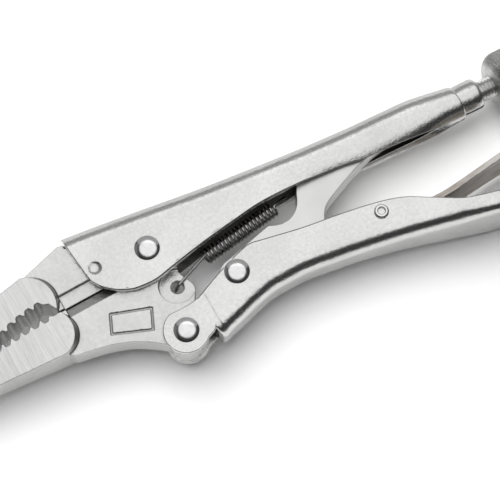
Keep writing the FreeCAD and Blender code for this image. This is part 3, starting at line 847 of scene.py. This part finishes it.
def rounded(node, name, material, grain, shape=None, keep=90000):
    """A copy of a frame node with its sharp edges worn round, as a forging's are.

    grain sets how fine the rounding is, shape may move points and keep is the most faces left."""
    mesh = frame["nodes"][node].data.copy()
    mesh.name = name
    mesh.materials.clear()
    mesh.materials.append(material)
    model = bmesh.new()
    model.from_mesh(mesh)
    bmesh.ops.remove_doubles(model, verts=model.verts, dist=WELD)
    model.to_mesh(mesh)
    model.free()
    piece = bpy.data.objects.new(name, mesh)
    bpy.context.scene.collection.objects.link(piece)
    remesh = piece.modifiers.new("grain", "REMESH")
    remesh.mode = "VOXEL"
    remesh.voxel_size = grain
    soften = piece.modifiers.new("soften", "SMOOTH")
    soften.factor = 0.5
    soften.iterations = 2
    settle(piece)
    if shape:
        normals = [v.normal.copy() for v in piece.data.vertices]
        for vertex, normal in zip(piece.data.vertices, normals):
            vertex.co = shape(vertex.co, normal)
    triangles = 2 * len(piece.data.polygons)
    if triangles > keep:
        thin = piece.modifiers.new("thin", "DECIMATE")
        thin.ratio = keep / triangles
        settle(piece)
    piece.data.polygons.foreach_set("use_smooth", [True] * len(piece.data.polygons))
    return piece


FRAME_CORNERS = [(-18.95, -11.66), (-7.49, -15.97), (-10.21, -21.93), (-21.38, -17.18)]
FRAME_REGION = (-24.0, -5.0, -24.0, -9.0)             # lowest and highest X, lowest and highest Y
FRAME_HALF_WIDTH, FRAME_DEPTH = 0.42, 0.34


def empty_frame(place, normal):
    """Sinks a thin empty border into both flat sides of the moving jaw."""
    if abs(normal.z) < 0.95:
        return place
    point = local(place)
    west, east, south, north = FRAME_REGION
    if not (west < point.x < east and south < point.y < north):
        return place
    distances = []
    for a, b in zip(FRAME_CORNERS, FRAME_CORNERS[1:] + FRAME_CORNERS[:1]):
        start = Vector(a)
        run = Vector(b) - start
        share = min(max((point.xy - start).dot(run) / run.length_squared, 0.0), 1.0)
        distances.append((point.xy - start - run * share).length)
    depth = FRAME_DEPTH * max(0.0, 1.0 - (min(distances) / FRAME_HALF_WIDTH) ** 2)
    return place - Vector((0.0, 0.0, math.copysign(depth * MM, normal.z)))


class PLIERS_OT_jaws(bpy.types.Operator):
    """Forged upper and lower jaws with teeth, cutter and ground nose"""
    bl_idname = "pliers.jaws"
    bl_label = "Jaws"

    def execute(self, context):
        grain = sizes().forging_grain
        upper = rounded("fixed_jaw", "fixed_jaw_forging", forged_plating(), grain, keep=120000)
        lower = rounded("moving_jaw", "moving_jaw_forging", forged_plating(), grain, shape=empty_frame,
                        keep=130000)
        fit(upper, "upper_handle", "fixed_jaw")
        fit(lower, "moving_jaw", "moving_jaw")
        return {"FINISHED"}


class PLIERS_OT_link(bpy.types.Operator):
    """Thick toggle link from the lower handle to the screw"""
    bl_idname = "pliers.link"
    bl_label = "Toggle link"

    def execute(self, context):
        link = rounded("toggle_link", "toggle_link_plate", link_plating(), sizes().forging_grain * 1.3)
        fit(link, "toggle_link", "toggle_link")
        return {"FINISHED"}


class PLIERS_OT_lever(bpy.types.Operator):
    """Bent release lever between the handles"""
    bl_idname = "pliers.lever"
    bl_label = "Release lever"

    def execute(self, context):
        lever = rounded("release_lever", "release_lever_strip", lever_plating(), sizes().forging_grain)
        fit(lever, "release_lever", "release_lever")
        return {"FINISHED"}


# ---------------- rivets, spring, screw, knob

HEAD_R, HEAD_H, SHANK_R = 4.0, 1.3, 2.5
PIVOT_RIVETS = (                          # node, centre, half of what it grips, body
    ("jaw_pivot_rivet", JAW_PIVOT, 7.3, "upper_handle"),
    ("handle_pivot_rivet", HANDLE_PIVOT, 7.3, "lower_handle"),
    ("link_rivet", LINK_PIVOT, 8.2, "lower_handle"),
)
EYELET_GRIP, EYELET_BORE, EYELET_SHANK = 9.35, 1.0, 1.6
# Rolled lip of the eyelet, from its bore round to its shank: (distance past the grip, radius).
EYELET_LIP = [(-0.6, EYELET_BORE), (0.35, 1.05), (0.55, 1.3), (0.58, 1.65), (0.42, 2.0), (0.1, 2.2),
              (-0.12, 2.15), (-0.2, EYELET_SHANK)]


def dome(grip):
    """Profile of a rivet from one domed head to the other."""
    ball = (HEAD_R ** 2 + HEAD_H ** 2) / (2.0 * HEAD_H)
    head = []
    for k in range(1, 15):
        angle = math.asin(HEAD_R / ball) * k / 14.0
        head.append((grip + HEAD_H - ball + ball * math.cos(angle), ball * math.sin(angle)))
    upper = head + [(grip + 0.02, HEAD_R), (grip - 0.12, HEAD_R - 0.12), (grip - 0.14, SHANK_R)]
    return [(-d, r) for d, r in upper] + upper[::-1]


class PLIERS_OT_rivets(bpy.types.Operator):
    """Four rivets: three domed pivots and the small hollow one of the lever"""
    bl_idname = "pliers.rivets"
    bl_label = "Rivets"

    def execute(self, context):
        for node, centre, grip, body in PIVOT_RIVETS:
            rivet = turned(node + "_turned", dome(grip), centre, UP, rivet_polish(), 96)
            fit(rivet, body, node)
        lip = [(EYELET_GRIP + past, radius) for past, radius in EYELET_LIP]
        rows = [(0.0, EYELET_BORE)] + lip + [(0.0, EYELET_SHANK)]
        loop = [(-d, r) for d, r in rows] + lip[::-1]
        eyelet = turned("lever_rivet_eyelet", loop, LEVER_PIVOT, UP, rivet_polish(), ring=True)
        fit(eyelet, "lower_handle", "lever_rivet")
        return {"FINISHED"}


SPRING_HOLE, SPRING_ANCHOR = (2.4, -13.6), (44.6, -4.6)
COIL_START, COIL_END = (14.0, -9.2), (39.8, -6.0)
COIL_R, COIL_STEPS = 2.15, 22
HOOK_R, HOOK_LOW, HOOK_TOP = 1.4, 0.2, 2.6


def coil_line():
    """Centre line of the spring: hook in the jaw's tab, close coils, hook on the handle's tang."""
    hole, start, end, anchor = (Vector((*place, 0.0))
                                for place in (SPRING_HOLE, COIL_START, COIL_END, SPRING_ANCHOR))
    run = end - start
    along = run.normalized()
    side = Vector((-along.y, along.x, 0.0))
    turns = int(run.length * MM / sizes().spring_pitch)
    line = []
    for k in range(9):
        turn = math.pi * k / 8.0
        line.append(hole + Vector((-0.6, -0.25, 0.0)) * math.cos(turn) * HOOK_R
                    + UP * (HOOK_LOW + (HOOK_TOP - HOOK_LOW) * math.sin(turn / 2.0)))
    begin, first = line[-1], start + UP * COIL_R
    for k in range(1, 10):
        share = k / 10.0
        line.append(begin.lerp(first, share) + UP * 0.12 * math.sin(math.pi * share))
    for k in range(turns * COIL_STEPS + 1):
        angle = 2.0 * math.pi * k / COIL_STEPS
        line.append(start + along * run.length * k / (turns * COIL_STEPS)
                    + (UP * math.cos(angle) + side * math.sin(angle)) * COIL_R)
    begin = line[-1]
    for k in range(1, 9):
        share = k / 8.0
        line.append(begin.lerp(anchor, share) + UP * 0.3 * math.sin(math.pi * share))
    return [spot(*p) for p in line]


class PLIERS_OT_spring(bpy.types.Operator):
    """Extension spring from the moving jaw to the upper handle"""
    bl_idname = "pliers.spring"
    bl_label = "Jaw spring"

    def execute(self, context):
        points, faces = tube(coil_line(), sizes().spring_wire / 2.0)
        spring = new_piece("jaw_spring_wire", points, faces, tempered_wire())
        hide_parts("jaw_spring")
        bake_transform(spring)
        return {"FINISHED"}


# Distances along the screw are from where the knob starts.
SCREW_TIP, SCREW_COLLAR, SCREW_END = -32.8, -1.6, 10.6
SCREW_STEP, SCREW_AROUND = 0.11, 48
THREAD_R, THREAD_DEPTH = 3.44, 0.55
TIP_RUN, TIP_SHARE = 1.2, 0.78            # the tip narrows to this share over this length


class PLIERS_OT_screw(bpy.types.Operator):
    """Adjusting screw with a real thread and a plain collar at the knob"""
    bl_idname = "pliers.screw"
    bl_label = "Adjusting screw"

    def execute(self, context):
        pitch = sizes().thread_pitch / MM

        def thread(distance, radius, k):
            if distance <= SCREW_COLLAR:
                phase = (distance / pitch - k / SCREW_AROUND) % 1.0
                groove = abs(phase - 0.5) * 2.0
                radius -= THREAD_DEPTH * min(max(groove * 1.3 - 0.15, 0.0), 1.0)
            lead = min(max((distance - SCREW_TIP) / TIP_RUN, 0.0), 1.0)
            return radius * (TIP_SHARE + (1.0 - TIP_SHARE) * lead)

        count = int((SCREW_END - SCREW_TIP) / SCREW_STEP) + 1
        rows = [(SCREW_TIP + SCREW_STEP * k, THREAD_R) for k in range(count)]
        screw = turned("adjusting_screw_thread", rows, KNOB_START, SCREW_AXIS, screw_plating(),
                       SCREW_AROUND, reach=thread)
        fit(screw, "adjusting_screw", "adjusting_screw")
        return {"FINISHED"}


KNOB_LENGTH, KNOB_R, KNOB_CORNER, KNOB_FRONT = 12.6, 9.5, 4.6, -1.7
KNURL_DEPTH, KNURL_LEAD, KNURL_FADE = 0.38, 1.6, 0.5
KNURL_FROM_R = 6.2                        # the knurl starts where the front corner is this wide
KNURL_ROW, KNURL_STEPS = 0.25, 8          # millimetres along the knob, steps round each tooth


def knob_profile():
    """Profile of the knob, and the distances at which its knurl begins and ends."""
    profile = [(KNOB_FRONT + 0.3, 3.5), (KNOB_FRONT, 3.8), (KNOB_FRONT, 4.5)]
    for k in range(1, 25):
        turn = math.pi / 2.0 * k / 24.0
        profile.append((KNOB_FRONT + KNOB_CORNER * (1.0 - math.cos(turn)),
                        KNOB_R - KNOB_CORNER * (1.0 - math.sin(turn))))
    begin = min(distance for distance, radius in profile if radius > KNURL_FROM_R)
    straight = KNOB_FRONT + KNOB_CORNER
    count = int((KNOB_LENGTH - 1.2 - straight) / KNURL_ROW)
    rows = [straight + 0.2 + KNURL_ROW * k for k in range(count)]
    profile += [(distance, KNOB_R) for distance in rows]
    profile += [(KNOB_LENGTH - 0.7, KNOB_R - 0.1), (KNOB_LENGTH - 0.3, KNOB_R - 0.35),
                (KNOB_LENGTH - 0.08, KNOB_R - 0.75), (KNOB_LENGTH, KNOB_R - 1.2), (KNOB_LENGTH, 6.2),
                (KNOB_LENGTH - 0.25, 5.6), (KNOB_LENGTH - 0.3, 2.0)]
    return profile, begin, rows[-1]


class PLIERS_OT_knob(bpy.types.Operator):
    """Knurled knob on the end of the screw"""
    bl_idname = "pliers.knob"
    bl_label = "Adjusting knob"

    def execute(self, context):
        profile, begin, end = knob_profile()

        def knurl(distance, radius, k):
            inside = min(distance - begin, end - distance)
            if inside < 0.0:
                return radius
            depth = KNURL_DEPTH * min(1.0, inside / KNURL_FADE)
            left = abs(((k / KNURL_STEPS + distance / KNURL_LEAD) % 1.0) - 0.5) * 2.0
            right = abs(((k / KNURL_STEPS - distance / KNURL_LEAD) % 1.0) - 0.5) * 2.0
            return radius - depth * max(left, right) ** 2

        knob = turned("adjusting_knob_turned", profile, KNOB_START, SCREW_AXIS, knob_plating(),
                      sizes().knurl_count * KNURL_STEPS, reach=knurl)
        fit(knob, "adjusting_knob", "adjusting_knob")
        return {"FINISHED"}


# ---------------- stage

AIM = spot(27.1, -13.8)                   # what the camera and the lamps point at
FORWARD, RIGHT = Vector((0.1462, 0.2532, -0.9563)), Vector((0.8660, -0.5, 0.0))
CAMERA_DISTANCE, CAMERA_LENS, CAMERA_SENSOR = 0.45, 108.0, 36.0
PICTURE_UP, PICTURE_RIGHT = Vector((0.5, 0.866, 0.0)), Vector((0.866, -0.5, 0.0))
FLOOR_SIDE, FLOOR_CELLS, FLOOR_LEVEL = 6.0, 24, -0.0002
ROOM_GREY = 0.03
LAMPS = (          # name, metres right, up and above AIM, width, height, radiance, shape, seen in metal
    ("overhead_box", 0.0, 0.12, 0.62, 1.16, 1.16, 1.0, "ELLIPSE", True),
    ("back_card", 0.0, 1.15, 0.52, 2.6, 1.25, 0.33, "RECTANGLE", True),
    ("side_card", -1.2, 0.0, 0.42, 1.6, 0.8, 0.16, "RECTANGLE", True),
    ("floor_box", -0.28, 0.28, 1.1, 1.0, 1.0, 4.2, "RECTANGLE", False),
)


def lamp(name, right, up, above, width, height, radiance, shape, seen_in_metal):
    """A soft box that shines on AIM; its power follows from its size and brightness."""
    data = bpy.data.lights.new(name, "AREA")
    data.shape = shape
    data.size, data.size_y = width, height
    filled = math.pi / 4.0 if shape == "ELLIPSE" else 1.0
    data.energy = radiance * math.pi * width * height * filled
    light = bpy.data.objects.new(name, data)
    bpy.context.scene.collection.objects.link(light)
    light.location = AIM + PICTURE_RIGHT * right + PICTURE_UP * up + UP * above
    light.rotation_mode = "QUATERNION"
    light.rotation_quaternion = (AIM - light.location).to_track_quat("-Z", "Y")
    light.visible_camera = False
    light.visible_glossy = seen_in_metal


class PLIERS_OT_stage(bpy.types.Operator):
    """Pale floor, soft boxes and the camera"""
    bl_idname = "pliers.stage"
    bl_label = "Stage"

    def execute(self, context):
        scene = context.scene
        scene.view_settings.view_transform = "Standard"
        camera = bpy.data.objects.new("camera", bpy.data.cameras.new("camera"))
        scene.collection.objects.link(camera)
        camera.data.sensor_width = CAMERA_SENSOR
        camera.data.lens = CAMERA_LENS
        camera.data.clip_start = 0.01
        camera.location = AIM - FORWARD * CAMERA_DISTANCE
        camera.rotation_mode = "QUATERNION"
        turn = Matrix((RIGHT, RIGHT.cross(FORWARD), -FORWARD)).transposed()
        camera.rotation_quaternion = turn.to_quaternion()
        scene.camera = camera

        shares = [k / FLOOR_CELLS - 0.5 for k in range(FLOOR_CELLS + 1)]
        points = [(AIM.x + FLOOR_SIDE * across, AIM.y + FLOOR_SIDE * along, FLOOR_LEVEL)
                  for along in shares for across in shares]
        floor = new_piece("floor", points, grid_faces(FLOOR_CELLS + 1, FLOOR_CELLS + 1), pale_floor())

        for settings in LAMPS:
            lamp(*settings)
        world = bpy.data.worlds.new("room")
        world.use_nodes = True
        background = world.node_tree.nodes["Background"]
        background.inputs["Color"].default_value = (ROOM_GREY, ROOM_GREY, ROOM_GREY, 1.0)
        scene.world = world
        return {"FINISHED"}


OPERATORS = (PLIERS_OT_upper_handle, PLIERS_OT_lower_handle, PLIERS_OT_jaws, PLIERS_OT_link,
             PLIERS_OT_lever, PLIERS_OT_rivets, PLIERS_OT_spring, PLIERS_OT_screw, PLIERS_OT_knob,
             PLIERS_OT_stage)


class PLIERS_PT_sidebar(bpy.types.Panel):
    """Lists the pieces of the pliers"""
    bl_idname = "PLIERS_PT_sidebar"
    bl_label = "Locking pliers"
    bl_space_type = "VIEW_3D"
    bl_region_type = "UI"
    bl_category = "Pliers"

    def draw(self, context):
        for operator in OPERATORS:
            self.layout.operator(operator.bl_idname)
        for group in (context.scene.pliers_sizes, context.scene.pliers_finish):
            for name in group.bl_rna.properties.keys():
                if name not in ("rna_type", "name"):
                    self.layout.prop(group, name)


CLASSES = (PliersSizes, PliersFinish, *OPERATORS, PLIERS_PT_sidebar)


def register():
    for cls in CLASSES:
        bpy.utils.register_class(cls)
    bpy.types.Scene.pliers_sizes = bpy.props.PointerProperty(type=PliersSizes)
    bpy.types.Scene.pliers_finish = bpy.props.PointerProperty(type=PliersFinish)


def unregister():
    del bpy.types.Scene.pliers_finish
    del bpy.types.Scene.pliers_sizes
    for cls in reversed(CLASSES):
        bpy.utils.unregister_class(cls)


def main():
    register()
    for operator in OPERATORS:
        group, name = operator.bl_idname.split(".")
        getattr(getattr(bpy.ops, group), name)()


if __name__ == "__main__":
    main()
